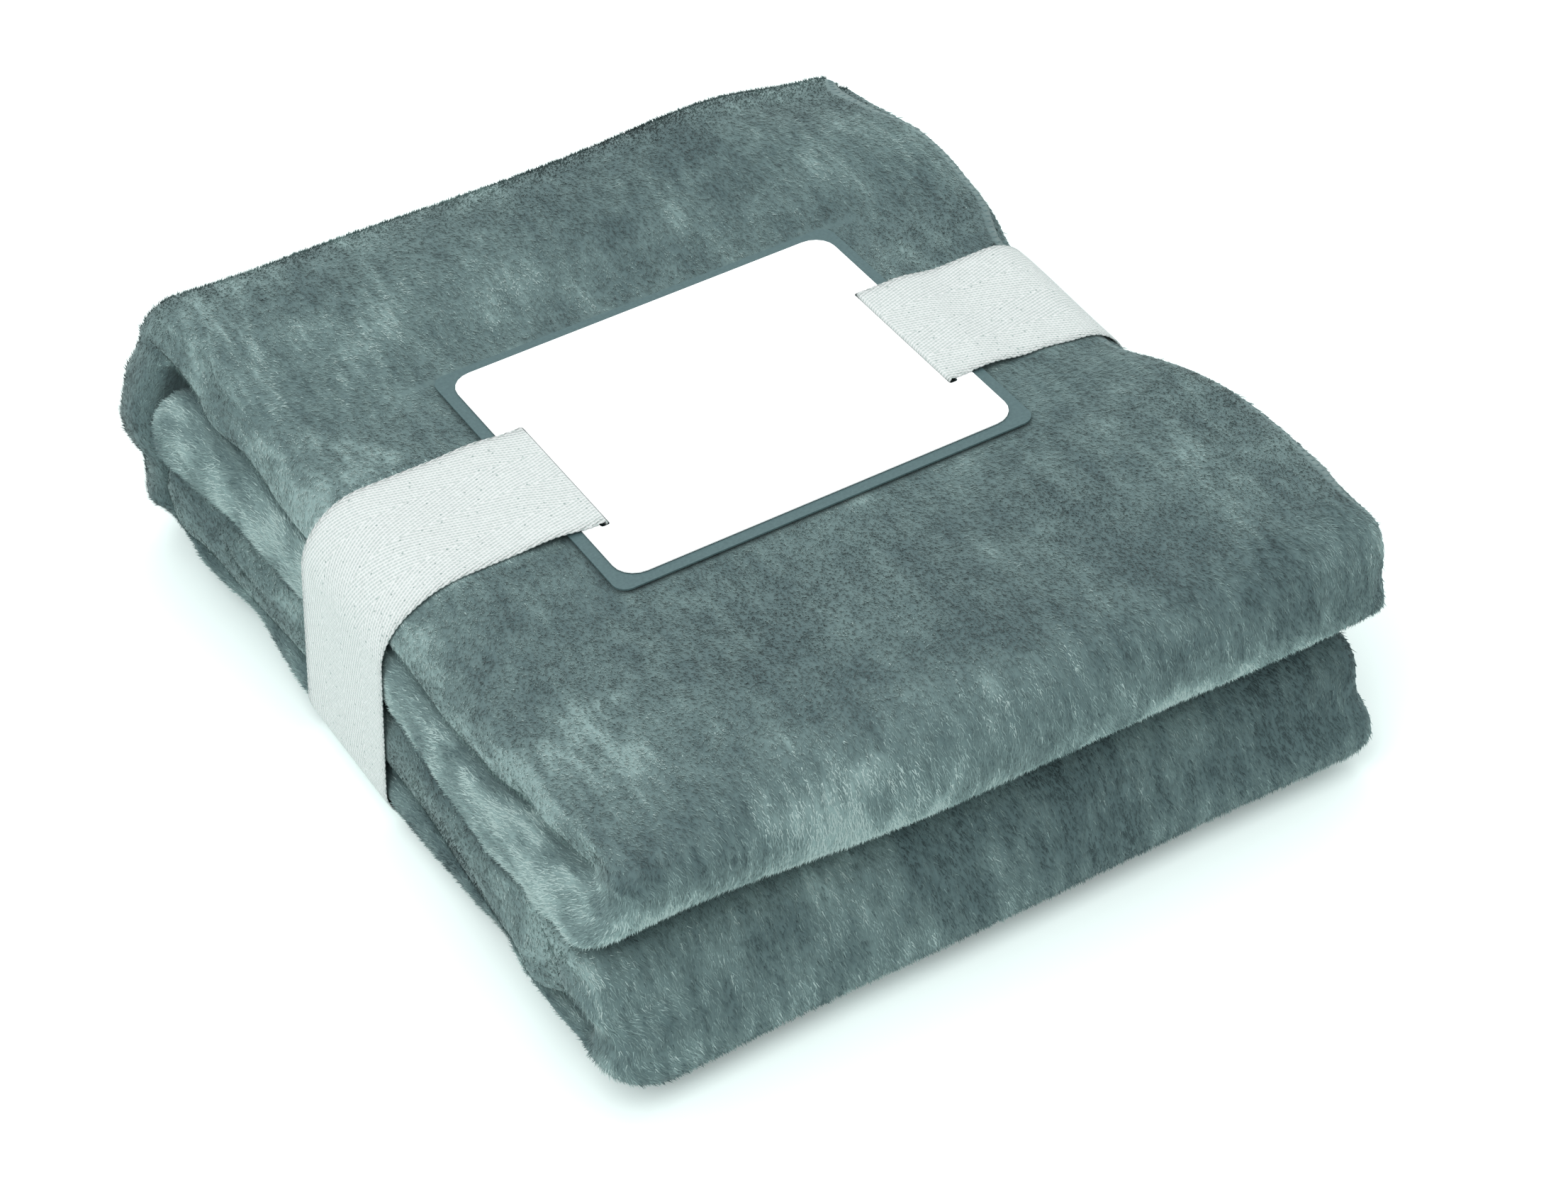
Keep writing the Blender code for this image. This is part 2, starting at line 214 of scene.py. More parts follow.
def new_piece(name, points, faces, materials, corner_uv=None, bake_uv=None, slots=None, smooth=True):
    """A mesh object from arrays: points (n, 3), faces (m, 3 or 4) and, per face corner, its UV places."""
    sides = faces.shape[1]
    mesh = bpy.data.meshes.new(name)
    mesh.vertices.add(len(points))
    mesh.vertices.foreach_set("co", np.asarray(points, np.float32).ravel())
    mesh.loops.add(faces.size)
    mesh.loops.foreach_set("vertex_index", np.asarray(faces, np.int32).ravel())
    mesh.polygons.add(len(faces))
    mesh.polygons.foreach_set("loop_start", np.arange(0, faces.size, sides, dtype=np.int32))
    for material in materials:
        mesh.materials.append(material)
    if slots is not None:
        mesh.polygons.foreach_set("material_index", np.asarray(slots, np.int32))
    mesh.polygons.foreach_set("use_smooth", np.full(len(faces), smooth))
    if corner_uv is not None:
        layer = mesh.uv_layers.new(name="cloth")
        layer.uv.foreach_set("vector", np.asarray(corner_uv, np.float32).ravel())
    if bake_uv is not None:
        layer = mesh.uv_layers.new(name="OFBake")
        layer.uv.foreach_set("vector", np.asarray(bake_uv, np.float32).ravel())
    mesh.update(calc_edges=True)
    mesh.validate()
    piece = bpy.data.objects.new(name, mesh)
    bpy.context.scene.collection.objects.link(piece)
    return piece


def turn_of(points, faces):
    """1 where the quads of a closed shell point outwards and -1 where they point inwards."""
    a, b, c, d = (points[faces[:, n]] for n in range(4))
    return np.sign((a * np.cross(b, c)).sum() + (a * np.cross(c, d)).sum())


def outwards(points, faces, *corners):
    """The quads of a closed shell, turned so that they point outwards, and what belongs to their corners."""
    step = int(turn_of(points, faces))
    return (faces[:, ::step], *(part[:, ::step] for part in corners))


def grid_faces(rows, columns, closed_rows=False, closed_columns=False):
    """Quads between neighbouring rows and columns of a grid whose points are numbered row by row."""
    r = np.arange(rows if closed_rows else rows - 1)
    c = np.arange(columns if closed_columns else columns - 1)
    r, c = np.meshgrid(r, c, indexing="ij")
    r2, c2 = (r + 1) % rows, (c + 1) % columns
    here, below = r * columns, r2 * columns
    return np.stack([here + c, here + c2, below + c2, below + c], -1).reshape(-1, 4)


def flat_corners(rows, columns, caps):
    """A flat layout for a tube's quads by row and column, and beside it a narrow strip for its end caps.

    The tube is cut open along its last column. The order of the quads is that of grid_faces.
    """
    r, c = np.meshgrid(np.arange(rows - 1), np.arange(columns), indexing="ij")
    n = np.arange(caps)
    edge, tall, strip = 0.003, 0.994, 0.970

    def laid(u, v):
        return np.stack(np.broadcast_arrays(u, edge + tall * v), -1)

    tube = [laid(edge + 0.96 * (c + a) / columns, (r + b) / (rows - 1)) for a, b in CORNERS]
    ends = [laid(strip + 0.025 * b, (n + a) / caps) for a, b in CORNERS]
    return np.concatenate([np.stack(tube, 2).reshape(-1, 4, 2), np.stack(ends, 1)])


def tube_shell(grid, across, way, cap):
    """A tube from its closed loops: quads between them, and this cap over the first loop and the last.

    It returns the points, the faces, and for each face corner its place on the flat sheet and in the layout.
    """
    rows, columns = grid.shape[:2]
    points = grid.reshape(-1, 3)
    sides = grid_faces(rows, columns, closed_columns=True)
    faces = np.concatenate([sides, cap[:, ::-1], cap + (rows - 1) * columns])
    faces, layout = outwards(points, faces, flat_corners(rows, columns, 2 * len(cap)))
    place = np.stack(np.broadcast_arrays(across[None], way[:, None]), -1).reshape(-1, 2)
    return points, faces, place[faces], layout


def smooth_step(value, start, end):
    """0 before start, 1 after end and an S-curve between them."""
    part = np.clip((value - start) / (end - start), 0, 1)
    return part * part * (3 - 2 * part)


def bell(value, middle, width):
    """1 at the middle, falling off to both sides as a bell curve."""
    return np.exp(-(((value - middle) / width) ** 2))


def unit(vectors):
    """The same vectors with a length of 1."""
    return vectors / np.maximum(np.linalg.norm(vectors, axis=-1, keepdims=True), 1e-12)


def distance_along(points):
    """How far along a line each of its points lies."""
    return np.concatenate([[0], np.cumsum(np.linalg.norm(np.diff(points, axis=0), axis=1))])


def height_share(z):
    """Height as a share of the pack's height under the band."""
    return (z - CLOTH_LOW[2]) / (SOFT_TOP - CLOTH_LOW[2])


def cloud(points, size, seed):
    """Smooth noise from 0 to 1: random values on a lattice of this size, blended between its corners."""
    table = np.random.default_rng(seed).random((32, 32, 32))
    cell = np.asarray(points) / np.asarray(size)
    low = np.floor(cell).astype(int)
    part = cell - low
    part = part * part * (3 - 2 * part)
    total = np.zeros(len(cell))
    for corner in itertools.product((0, 1), repeat=3):
        weight = np.prod(np.where(corner, part, 1 - part), axis=1)
        total += weight * table[tuple(((low + corner) % 32).T)]
    return total


def arc_of(centre, radius, start, end, steps, first=True):
    """Points and outward normals on a circle from one angle to another, in degrees."""
    turn = np.radians(np.linspace(start, end, steps + 1))[0 if first else 1 :]
    normal = np.stack([np.cos(turn), np.sin(turn)], -1)
    return np.asarray(centre) + radius * normal, normal


def run_of(start, end, steps, normal, ease=0.0):
    """Points on a straight line without its ends, closer together near them by the ease, and normals."""
    part = np.linspace(0, 1, steps + 1)[1:-1]
    part = part - ease * np.sin(2 * np.pi * part) / (2 * np.pi)
    points = np.asarray(start) + part[:, None] * (np.asarray(end) - np.asarray(start))
    return points, np.tile(np.asarray(normal, float), (len(points), 1))


# ---------------------------------------------------------------- the folded cloth


def strip_line():
    """The middle of the folded strip, from the upper inner end to the lower one, in Y and Z.

    Upper inner run, upper fold, top run, two bends of the spine, bottom run, lower fold, lower inner run.
    It returns the points, their outward normals and how much the layers are pressed together there.
    """
    half = STRIP / 2
    fold = (STRIP + RUN_GAP) / 2
    bend = SPINE_INSIDE + half
    z = CLOTH_LOW[2] + half + np.arange(4) * (STRIP + RUN_GAP)
    upper_y = FRONT + fold + half
    lower_y = upper_y + LOWER_SETBACK
    spine_y = BACK - half - bend
    end_y = BACK - STRIP - RUN_END
    stretches = [
        (np.array([[end_y, z[2]]]), np.array([[0.0, -1.0]])),
        run_of((end_y, z[2]), (upper_y, z[2]), 34, (0, -1), 0.75),
        arc_of((upper_y, z[2] + fold), fold, 270, 90, FOLD_STEPS),
        run_of((upper_y, z[3]), (spine_y, z[3]), 78, (0, 1)),
        arc_of((spine_y, z[3] - bend), bend, 90, 0, 12),
        run_of((BACK - half, z[3] - bend), (BACK - half, z[0] + bend), 8, (1, 0)),
        arc_of((spine_y, z[0] + bend), bend, 0, -90, 12),
        run_of((spine_y, z[0]), (lower_y, z[0]), 40, (0, -1), 0.6),
        arc_of((lower_y, z[0] + fold), fold, 270, 90, FOLD_STEPS),
        run_of((lower_y, z[1]), (end_y, z[1]), 34, (0, 1), 0.75),
        (np.array([[end_y, z[1]]]), np.array([[0.0, 1.0]])),
    ]
    points = np.concatenate([p for p, _ in stretches])
    normals = np.concatenate([n for _, n in stretches])
    way = distance_along(points)
    ends = np.cumsum([len(p) for p, _ in stretches])
    upper, lower = (way[ends[n] + FOLD_STEPS // 2] for n in (1, 7))
    press = 1 - 0.05 * bell(way, upper, 0.030) - 0.24 * bell(way, lower, 0.026)
    press -= 0.40 * np.exp(-way / 0.006) + 0.40 * np.exp(-(way[-1] - way) / 0.006)
    return points, normals, press, way


def section_line():
    """The middle line across the strip's four layers, as X and level, with the outside face's normal.

    From the outer hem along the top layer, round the wide fold at -X, back below, round the fold at +X,
    in again, round the tight inner fold at -X and out to the inner hem.
    """
    t = LAYER
    right = HALF_WIDTH - HEM_ROOM
    left = -HALF_WIDTH + 2 * t
    tight, narrow = ((left, 0), t / 2), ((right - t, -t), t / 2)
    inner, inner_normal = arc_of(*tight, 270, 90, 8)
    fold, fold_normal = arc_of((left, 0), 1.5 * t, 90, 270, 22)
    fold = np.sign(fold - (left, 0)) * 1.5 * t * np.abs(fold_normal) ** 0.62 + (left, 0)
    stretches = [
        (np.array([[right, 1.5 * t]]), np.array([[0.0, 1.0]])),
        run_of((right, 1.5 * t), (left, 1.5 * t), 70, (0, 1), 0.35),
        (fold, fold_normal),
        run_of((left, -1.5 * t), (right - t, -1.5 * t), 18, (0, -1), 0.9),
        arc_of(*narrow, -90, 90, 8),
        run_of((right - t, -t / 2), (left, -t / 2), 14, (0, 1), 0.9),
        (inner, -inner_normal),
        run_of((left, t / 2), (right, t / 2), 14, (0, -1), 0.9),
        (np.array([[right, t / 2]]), np.array([[0.0, -1.0]])),
    ]
    return np.concatenate([p for p, _ in stretches]), np.concatenate([n for _, n in stretches])


def section_loop():
    """The closed outline of one layered section: outside faces, a rounded hem, inside faces, a rounded hem.

    It returns the outline as X and level, and the distance across the cut sheet at each of its points.
    """
    line, normal = section_line()
    cut = distance_along(line)
    outside = line + normal * WALL / 2
    inside = (line - normal * WALL / 2)[::-1]
    rims = []
    for point, way in ((line[-1], normal[-1]), (line[0], -normal[0])):
        corner = point + np.array([WALL / 2, 0])
        rims.append(np.array([corner + way * WALL / 4, corner - way * WALL / 4]))
    outline = np.concatenate([outside, rims[0], inside, rims[1]])
    across = np.concatenate([cut, [cut[-1]] * 2, cut[::-1], [0.0] * 2])
    return outline, across, len(line)


def quarter(depth, radius):
    """How far a quarter circle of this radius draws an edge in, at a depth below its crown."""
    rise = np.clip(radius - depth, 0, radius)
    return radius - np.sqrt(radius**2 - rise**2)


def side_of_pack(z, far=0.0):
    """Half the width under the band at a height: a leaning side less its two rounded shoulders.

    The far side, where the hems lie, stands a little fuller.
    """
    half = BASE_HALF + (TOP_HALF + 0.0040 * far - BASE_HALF) * height_share(z)
    half = half - quarter(SOFT_TOP - z, TOP_SHOULDER - 0.005 * far)
    return half - quarter(z - CLOTH_LOW[2], BASE_SHOULDER)


def skew(x):
    """How far the band strays towards the spine on its way down the -X side."""
    return BAND_STRAY * smooth_step(-x, 0.062, 0.094)


def waist(x, y):
    """How much the band draws the cloth in: 1 under the band, falling off in front of it and behind."""
    far = smooth_step(x, 0.02, 0.11)
    y = y - skew(x)
    front = np.clip(TAPE_LOW[1] - 0.002 - y, 0, None)
    behind = np.clip(y - TAPE_HIGH[1] - 0.002, 0, None)
    return bell(front, 0, 0.062 - 0.040 * far) * bell(behind, 0, 0.046 - 0.022 * far)


def band_tilt(x, y):
    """How far the band's front edge lies lower than its back edge over the two shoulders."""
    across = smooth_step(TAPE_HIGH[1] - y, 0, TAPE_HIGH[1] - TAPE_LOW[1])
    beside = smooth_step(np.abs(x), 0.109, 0.130)
    return BAND_LEAN * across * beside * waist(x, y)


def plan_corner(y, radius):
    """How far the corners at the spine and at the noses are drawn in, seen from above."""
    return quarter(BACK + 0.002 - y, radius) + quarter(y - FRONT + 0.002, radius)


def near_side(share, y, top):
    """Half the width on the -X side away from the band: a round foot, a leaning top, fuller at the spine."""
    height = share * top
    half = 0.1500 - 0.0125 * np.clip((share - 0.38) / 0.62, 0, None) ** 1.7
    half = half - quarter(height, 0.029)
    bulge = bell(share, 0.53, np.where(share < 0.53, 0.34, 0.26)) * smooth_step(y, 0.100, 0.155)
    return half + 0.0060 * bulge - 0.45 * quarter(BACK + 0.004 - y, 0.020)


def far_side(share, y, top):
    """Half the width on the +X side away from the band: both folded halves are round at their ends."""
    height = share * top
    front = smooth_step(-y, 0.090, 0.150)
    lower = 1 - smooth_step(share, 0.46, 0.54)
    half = 0.1535 - 0.0012 * smooth_step(y, 0.050, 0.090) - (0.0035 + 0.0098 * lower) * front
    half = half - 0.8 * plan_corner(y, 0.020)
    crown = 0.011 + 0.004 * front + 0.020 * smooth_step(y, 0.090, 0.165)
    half = half - quarter(height, 0.018) - quarter(top - height, crown)
    crease = quarter(np.abs(share - 0.5) * top, 0.012)
    return half - crease * (0.25 + 0.65 * front)


def settle(points):
    """Where a point of the straight folded pack comes to lie once the cloth has settled.

    Heights are a share of the pack's height there, which is low at the band and full at both ends. Widths
    are a share of the pack's width at that height. Small waves are added along the folds.
    """
    x, y, z = points.T
    share = height_share(z)
    tied = waist(x, y)
    edge = smooth_step(-x / HALF_WIDTH, 0.62, 1.0)
    turn = np.pi * share
    share = share + edge * (1 - 0.35 * tied) * (
        0.009 * np.sin(turn) - 0.050 * np.sin(2 * turn) + 0.019 * np.sin(3 * turn)
    )
    nose = smooth_step(-y, 0.120, 0.1735)
    crease = 0.040 + 0.092 * smooth_step(-x, 0.020, 0.140) - 0.028 * smooth_step(x, 0.060, 0.140)
    share = share + crease * nose * np.sin(turn)
    # height: the ends stand higher than the card, and the top rolls down to the noses
    cloth = bpy.context.scene.throw_cloth
    lift = smooth_step(-y, 0.045, 0.150) * (cloth.front_height - SOFT_TOP)
    lift += smooth_step(y, 0.070, 0.142) * (cloth.spine_height - SOFT_TOP)
    lift += 0.0020 * smooth_step(y, 0.110, 0.150) * bell(x, 0.080, 0.030)
    lift -= smooth_step(y, 0.100, 0.160) * (0.0060 * smooth_step(x, 0.095, 0.150) + 0.0080 * x)
    lift += 0.0018 * smooth_step(-y, 0.045, 0.085) * smooth_step(x, 0.080, 0.120)
    top = SOFT_TOP + lift
    top -= 0.0030 * smooth_step(-x, 0.085, 0.150) * (1 - tied)
    top += 0.0018 * (cloud(points * (1, 1, 0), 0.055, 3) - 0.5) * np.clip(lift / 0.008, 0, 1)
    foot = CLOTH_LOW[2] * tied + 0.0004 * (1 - tied)
    z = foot + share * (top - foot)
    # width
    held = side_of_pack(np.clip(z, CLOTH_LOW[2], SOFT_TOP), x > 0) - 0.0003
    inside = np.clip(share, 0, 1)
    free = np.where(x < 0, near_side(inside, y, top), far_side(inside, y, top))
    x = x / HALF_WIDTH * (free + (held - free) * tied)
    # waves along the folds
    along = np.stack([y * 0, y, share * 0.4], -1)
    wave = cloud(along, 0.042, 11) - 0.5 + 0.7 * (cloud(along, 0.019, 12) - 0.5)
    x = x - wave * 0.0060 * edge * (1 - tied)
    right_edge = smooth_step(points[:, 0] / HALF_WIDTH, 0.7, 1.0)
    x = x + wave * 0.0030 * right_edge * (1 - tied)
    # noses: the upper one hangs over, and the lower one spreads forward at the floor
    across = np.stack([points[:, 0], share * 0.12, y * 0], -1)
    wander = cloud(across, 0.085, 21) - 0.5
    upper = smooth_step(share, 0.48, 0.60)
    y = y - nose * (0.0015 + 0.0045 * wander) * (0.4 + 0.6 * upper)
    spread = 0.0135 + 0.0030 * smooth_step(-points[:, 0], 0.05, 0.15)
    y = y - spread * nose * (1 - smooth_step(share, 0.04, 0.44)) * np.clip(share / 0.03, 0.6, 1)
    z = z + 0.0030 * nose * smooth_step(share, 0.2, 0.5) * wander
    # spine
    spine = smooth_step(y, 0.135, 0.1735)
    y = y + spine * (0.0065 + 0.003 * (cloud(across, 0.10, 31) - 0.5))
    z = z - band_tilt(x, y) * smooth_step(share, 0.55, 1.0)
    return np.stack([x, y, z], -1)


def round_run_ends(points, way):
    """Draws the -X edge in over the last stretch of both inner runs, as a quarter circle."""
    radius = 0.010
    rest = np.clip(np.minimum(way, way[-1] - way), 0, radius)
    drawn = radius - np.sqrt(np.clip(radius**2 - (radius - rest) ** 2, 0, None))
    side = smooth_step(-points[..., 0] / HALF_WIDTH, 0.85, 1.0)
    points[..., 0] += drawn[:, None] * side
    return points


def cloth_grid():
    """The settled cloth as a grid: one closed layered section at each step along the strip."""
    middle, out, press, way = strip_line()
    outline, across, line_count = section_loop()
    level = outline[:, 1][None] * press[:, None] + (STRIP / 2 * (1 - press))[:, None]
    grid = np.empty((len(middle), len(outline), 3))
    grid[..., 0] = outline[:, 0]
    grid[..., 1] = middle[:, :1] + out[:, :1] * level
    grid[..., 2] = middle[:, 1:] + out[:, 1:] * level
    grid = round_run_ends(grid, way)
    shape = grid.shape
    return settle(grid.reshape(-1, 3)).reshape(shape), across, way, line_count


def cloth_shell(grid, across, way, line_count):
    """The cloth as a tube of sections, with both cut ends closed between its outside and its inside."""
    j = np.arange(line_count - 1)
    partner = 2 * line_count + 1 - j
    cap = np.stack([j, j + 1, partner - 1, partner], -1)
    rims = np.array([[line_count - 1, line_count, line_count + 1, line_count + 2],
                     [2 * line_count + 2, 2 * line_count + 3, 0, 2 * line_count + 1]])
    return tube_shell(grid, across, way, np.concatenate([cap, rims]))


# ---------------------------------------------------------------- materials


def shader_of(name, roughness=0.8, sheen=0.0, sheen_tint=(1, 1, 1), sheen_roughness=0.4):
    """A new material with its tree and its shader, whose constant values are set on the shader."""
    material = bpy.data.materials.new(name)
    material.use_nodes = True
    shader = material.node_tree.nodes["Principled BSDF"]
    shader.inputs["Roughness"].default_value = roughness
    shader.inputs["Specular IOR Level"].default_value = 0.2
    shader.inputs["Sheen Weight"].default_value = sheen
    shader.inputs["Sheen Tint"].default_value = (*sheen_tint, 1)
    shader.inputs["Sheen Roughness"].default_value = sheen_roughness
    return material, material.node_tree, shader


def add(tree, kind, inputs=(), **settings):
    """A new node with its settings, and its inputs linked or given a value."""
    node = tree.nodes.new(kind)
    for key, value in settings.items():
        setattr(node, key, value)
    for key, value in dict(inputs).items():
        if isinstance(value, bpy.types.NodeSocket):
            tree.links.new(value, node.inputs[key])
        else:
            node.inputs[key].default_value = value
    return node


def maths(tree, operation, a, b=0.0, c=0.0):
    """The result of a Math node on values or sockets."""
    node = add(tree, "ShaderNodeMath", operation=operation)
    for socket, value in zip(node.inputs, (a, b, c)):
        if isinstance(value, bpy.types.NodeSocket):
            tree.links.new(value, socket)
        else:
            socket.default_value = value
    return node.outputs[0]


def streaks(tree, place, scale, detail):
    """Noise drawn out along the cloth: place times the scale."""
    spread = add(tree, "ShaderNodeMapping", {"Vector": place, "Scale": (*scale, 1)})
    noise = add(tree, "ShaderNodeTexNoise", {"Vector": spread.outputs[0], "Scale": 1.0, "Detail": detail})
    return noise.outputs[0]


def tone_ramp(tree, value, start, end, tones):
    """Colours at even steps of the value from start to end."""
    ramp = add(tree, "ShaderNodeValToRGB", {"Fac": value})
    stops = ramp.color_ramp.elements
    stops[0].position, stops[0].color = start, (*tones[0], 1)
    stops[1].position, stops[1].color = end, (*tones[-1], 1)
    for n, tone in enumerate(tones[1:-1]):
        stops.new(start + (end - start) * (n + 1) / (len(tones) - 1)).color = (*tone, 1)
    return ramp.outputs[0]


def surface(tree, shader, tone, height, strength, distance):
    """Links the colour and a bump of this height to the shader."""
    bump = add(tree, "ShaderNodeBump", {"Height": height, "Strength": strength, "Distance": distance})
    tree.links.new(tone, shader.inputs["Base Color"])
    tree.links.new(bump.outputs[0], shader.inputs["Normal"])


def new_group(name, inputs, outputs):
    """An empty node group with its sockets, each given as a name, a kind and a default."""
    group = bpy.data.node_groups.new(name, "ShaderNodeTree")
    for label, kind, value in inputs:
        socket = group.interface.new_socket(label, in_out="INPUT", socket_type=kind)
        socket.default_value = value
    for label, kind in outputs:
        group.interface.new_socket(label, in_out="OUTPUT", socket_type=kind)
    return group, group.nodes.new("NodeGroupInput"), group.nodes.new("NodeGroupOutput")


def nap_group(colours):
    """Patches and strokes of brushed pile: soft noise in the object's space over streaks along the cloth. The
    patch value also brings painted sheen and painted shade.
    """
    inputs = [("Place", "NodeSocketVector", (0, 0, 0)), ("Tone_with_painted_light", "NodeSocketFloat", 0.5)]
    outputs = [("Color", "NodeSocketColor"), ("Height", "NodeSocketFloat")]
    group, start, end = new_group("brushed nap", inputs, outputs)
    strokes = streaks(group, start.outputs["Place"], (620, 130), 3.0)
    fine = streaks(group, start.outputs["Place"], (2200, 420), 2.0)
    both = maths(group, "MULTIPLY_ADD", strokes, 0.55, maths(group, "MULTIPLY", fine, 0.45))
    swing = maths(group, "SUBTRACT", strokes, 0.5)
    # the patch value carries the painted sheen and shade as well as the random patches
    shade = maths(group, "MULTIPLY_ADD", swing, 0.7, start.outputs["Tone_with_painted_light"])
    group.links.new(tone_ramp(group, shade, 0.15, 0.95, colours), end.inputs["Color"])
    group.links.new(both, end.inputs["Height"])
    return group


def plush_material(cloth):
    """The cloth under the pile: the nap group along the cloth, with its patches, painted sheen and painted
    shade from the mesh.
    """
    material, tree, shader = shader_of("brushed_plush", 0.95, 0.35, srgb("c9d8d6"), 0.5)
    place = add(tree, "ShaderNodeUVMap", uv_map="cloth")
    painted_light_and_patches = add(tree, "ShaderNodeAttribute", attribute_name="pile_tone_and_painted_light")
    group = nap_group([cloth.dark, mixed(cloth.dark, cloth.middle), cloth.middle, cloth.light])
    nap = add(tree, "ShaderNodeGroup", node_tree=group)
    tree.links.new(place.outputs[0], nap.inputs["Place"])
    tree.links.new(painted_light_and_patches.outputs["Fac"], nap.inputs["Tone_with_painted_light"])
    surface(tree, shader, nap.outputs["Color"], nap.outputs["Height"], 0.5, 0.0012)
    return material


def tuft_material(name, tone):
    """One tone of the pile, with a soft sheen."""
    material, _, shader = shader_of(name, 0.85, 0.25, srgb("d5e2e0"), 0.5)
    shader.inputs["Base Color"].default_value = (*tone, 1)
    return material


def twill_material(tape):
    """Herringbone twill: ribs at a slant, which changes side from column to column, with yarn beads and
    painted shade in the grooves between the ribs.
    """
    material, tree, shader = shader_of("cotton_herringbone", 0.9, 0.15, (1, 1, 1), 0.5)
    place = add(tree, "ShaderNodeUVMap", uv_map="cloth")
    parts = add(tree, "ShaderNodeSeparateXYZ", {"Vector": place.outputs[0]})
    zigzag = maths(tree, "PINGPONG", parts.outputs[0], tape.column)
    slant = maths(tree, "MULTIPLY_ADD", parts.outputs[1], -0.30, zigzag)
    rib = maths(tree, "SINE", maths(tree, "MULTIPLY", slant, 2 * math.pi / tape.rib))
    bead = maths(tree, "SINE", maths(tree, "MULTIPLY", parts.outputs[1], 2 * math.pi / (0.9 * tape.rib)))
    weave = maths(tree, "MULTIPLY_ADD", bead, 0.22, maths(tree, "MULTIPLY", rib, 0.5))
    height = maths(tree, "ADD", weave, streaks(tree, place.outputs[0], (1500, 500), 2.0))
    level = maths(tree, "MULTIPLY_ADD", height, 0.5, 0.25)
    # painted shade: the groove colour where the weave lies low, mixed with random yarn tone
    yarns = tone_ramp(tree, level, 0.22, 0.58, (tape.groove_shade, tape.cotton))
    holes = add(tree, "ShaderNodeTexVoronoi", {"Vector": place.outputs[0], "Scale": 520.0, "Randomness": 0.8})
    rare = add(tree, "ShaderNodeSeparateColor", {"Color": holes.outputs["Color"]})
    near = maths(tree, "LESS_THAN", holes.outputs["Distance"], 0.20)
    hole = maths(tree, "MULTIPLY", near, maths(tree, "GREATER_THAN", rare.outputs[0], 0.72))
    mix = add(tree, "ShaderNodeMix", data_type="RGBA")
    tree.links.new(maths(tree, "MULTIPLY", hole, 0.75), mix.inputs["Factor"])
    tree.links.new(yarns, mix.inputs[6])
    mix.inputs[7].default_value = (*tape.pinhole, 1)
    surface(tree, shader, mix.outputs[2], height, 0.8, 0.0004)
    return material


def grain_material(name, low, high, size, roughness, depth):
    """Fine paper or thread grain: noise in the object's space between two close colours."""
    material, tree, shader = shader_of(name, roughness)
    place = add(tree, "ShaderNodeTexCoord")
    noise = {"Vector": place.outputs["Object"], "Scale": 1 / size, "Detail": 4.0}
    grain = add(tree, "ShaderNodeTexNoise", noise).outputs[0]
    surface(tree, shader, tone_ramp(tree, grain, 0.3, 0.7, (low, high)), grain, 0.25, depth)
    return material


# ---------------------------------------------------------------- operators


def pile_tone_and_painted_light(points, normals):
    """How light the pile lies, from 0 to 1: soft patches of three sizes, and strokes along the nap.

    Painted light is added to this tone: a painted sheen where the cloth turns under at a nose, where it
    bulges out at the -X side and along the spine's top edge, and painted shade in the shelter of the
    upper nose. It is also darker at the spine's -X end and along the -X side's foot.
    """
    x, y, z = points.T
    shade = np.full(len(points), 0.47)
    patches = (
        (0.060, 0.50),
        ((0.021, 0.028, 0.021), 0.48),
        ((0.0070, 0.0115, 0.0100), 0.36),
        ((0.0018, 0.0090, 0.0085), 0.58),
    )
    for seed, (size, strength) in enumerate(patches):
        shade += strength * (cloud(points, size, 41 + seed) - 0.5)
    under = smooth_step(-normals[:, 2], -0.10, 0.60)
    front = smooth_step(-y, 0.130, 0.165)
    # painted sheen: lighter where the cloth faces down under the front noses
    shade += 0.34 * under * front * smooth_step(z, 0.030, 0.045)
    # painted highlight on the -X side where it faces -X, with random mottle mixed in
    bulge = 0.11 * smooth_step(z, 0.016, 0.026) + 0.16 * smooth_step(z, 0.038, 0.052)
    bulge += 0.45 * (cloud(points, 0.011, 47) - 0.5)
    shade += bulge * smooth_step(-normals[:, 0], 0.2, 0.8) * (1 - smooth_step(y, 0.138, 0.156))
    # darker at the spine's -X end
    shade -= 0.12 * smooth_step(-x, 0.125, 0.145) * smooth_step(y, 0.145, 0.165)
    # painted sheen along the spine's top edge
    shade += 0.12 * smooth_step(y, 0.140, 0.165) * smooth_step(z, 0.075, 0.095)
    # darker along the -X side's foot
    shade -= 0.10 * smooth_step(-x, 0.120, 0.140) * (1 - smooth_step(z, 0.012, 0.024))
    # painted shade in the shelter of the upper nose
    shade -= 0.14 * front * (1 - under) * bell(z, 0.040, 0.015)
    return np.clip(shade, 0, 1)


def grid_turn(grid):
    """1 where the cloth's grid points outwards and -1 where it points inwards."""
    return turn_of(grid.reshape(-1, 3), grid_faces(*grid.shape[:2], closed_columns=True))


def grid_normals(grid):
    """Outward normals at the points of the cloth's grid."""
    along = np.gradient(grid, axis=0)
    around = np.roll(grid, -1, axis=1) - np.roll(grid, 1, axis=1)
    return unit(np.cross(around, along) * grid_turn(grid))


